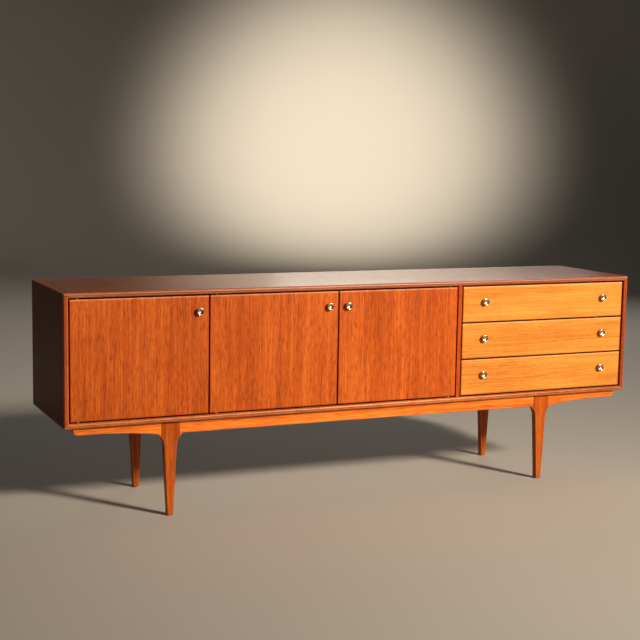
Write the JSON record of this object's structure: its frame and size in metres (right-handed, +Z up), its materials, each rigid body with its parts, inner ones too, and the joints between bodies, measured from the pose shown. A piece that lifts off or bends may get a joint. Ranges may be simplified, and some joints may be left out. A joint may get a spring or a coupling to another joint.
{
  "type": "sideboard",
  "caption": "Long low teak sideboard with flush hinged doors beside a bank of drawers, rounded lippings, round dished metal knobs, and a separate base with tapered legs",
  "frame": {"origin": "On the floor, under the middle of the whole piece, with its knobs and the heads of the screws in its back", "axes": "+X along the width to the right as seen from the front, +Y from the front to the back, +Z up; the doors and drawers face -Y"},
  "size_m": [2.2, 0.4748, 0.77],
  "materials": {
    "case_teak": "oiled teak veneer, satin",
    "lipping_teak": "solid teak lipping, oiled and rounded",
    "door_teak": "oiled teak veneer with upright grain, satin",
    "drawer_teak": "lighter oiled teak veneer with level grain, satin",
    "base_teak": "solid teak, oiled",
    "plywood": "thin plywood, bare",
    "birch": "pale hardwood, waxed",
    "brass": "plain brass, slightly dulled",
    "nickel": "warm nickel plate, worn satin",
    "steel": "zinc-plated steel",
    "brown_plastic": "brown moulded plastic"
  },
  "bodies": {
    "cabinet": {"top_panel": "case_teak", "bottom_panel": "case_teak", "left_side_panel": "case_teak", "right_side_panel": "case_teak", "back_panel": "plywood", "cupboard_divider": "case_teak", "drawer_divider": "case_teak", "small_shelf": "case_teak", "wide_shelf": "case_teak", "shelf_pins": "brass", "top_lipping": "lipping_teak", "bottom_lipping": "lipping_teak", "side_lippings": "lipping_teak", "drawer_runners": "birch", "back_panel_screws": "brass", "pivot_pins": "brass", "magnet_catches": "brown_plastic", "front_rail": "base_teak", "back_rail": "base_teak", "rail_ends": "base_teak", "cross_rails": "base_teak", "front_left_leg": "base_teak", "front_right_leg": "base_teak", "back_left_leg": "base_teak", "back_right_leg": "base_teak", "foot_glides": "brown_plastic", "base_screws": "steel"},
    "left_door": {"left_door_panel": "door_teak", "left_door_knob": "nickel", "left_door_knob_screw": "steel", "left_door_bushes": "brass", "left_door_strike_plate": "steel"},
    "middle_door": {"middle_door_panel": "door_teak", "middle_door_knob": "nickel", "middle_door_knob_screw": "steel", "middle_door_bushes": "brass", "middle_door_strike_plate": "steel"},
    "right_door": {"right_door_panel": "door_teak", "right_door_knob": "nickel", "right_door_knob_screw": "steel", "right_door_bushes": "brass", "right_door_strike_plate": "steel"},
    "top_drawer": {"top_drawer_front": "drawer_teak", "top_drawer_sides": "birch", "top_drawer_back": "birch", "top_drawer_bottom": "plywood", "top_drawer_knobs": "nickel", "top_drawer_knob_screws": "steel"},
    "middle_drawer": {"middle_drawer_front": "drawer_teak", "middle_drawer_sides": "birch", "middle_drawer_back": "birch", "middle_drawer_bottom": "plywood", "middle_drawer_knobs": "nickel", "middle_drawer_knob_screws": "steel"},
    "bottom_drawer": {"bottom_drawer_front": "drawer_teak", "bottom_drawer_sides": "birch", "bottom_drawer_back": "birch", "bottom_drawer_bottom": "plywood", "bottom_drawer_knobs": "nickel", "bottom_drawer_knob_screws": "steel"}
  },
  "joints": [
    {"name": "left_door_hinge", "type": "hinge", "parent": "cabinet", "child": "left_door", "pos_m": [-1.053, -0.2154, 0.5475], "axis": [0, 0, -1], "range_deg": [0, 105]},
    {"name": "middle_door_hinge", "type": "hinge", "parent": "cabinet", "child": "middle_door", "pos_m": [-0.575, -0.2154, 0.5475], "axis": [0, 0, -1], "range_deg": [0, 105]},
    {"name": "right_door_hinge", "type": "hinge", "parent": "cabinet", "child": "right_door", "pos_m": [0.326, -0.2154, 0.5475], "axis": [0, 0, 1], "range_deg": [0, 90]},
    {"name": "top_drawer_slide", "type": "slide", "parent": "cabinet", "child": "top_drawer", "axis": [0, -1, 0], "range_m": [0, 0.33]},
    {"name": "middle_drawer_slide", "type": "slide", "parent": "cabinet", "child": "middle_drawer", "axis": [0, -1, 0], "range_m": [0, 0.33]},
    {"name": "bottom_drawer_slide", "type": "slide", "parent": "cabinet", "child": "bottom_drawer", "axis": [0, -1, 0], "range_m": [0, 0.33]}
  ]
}
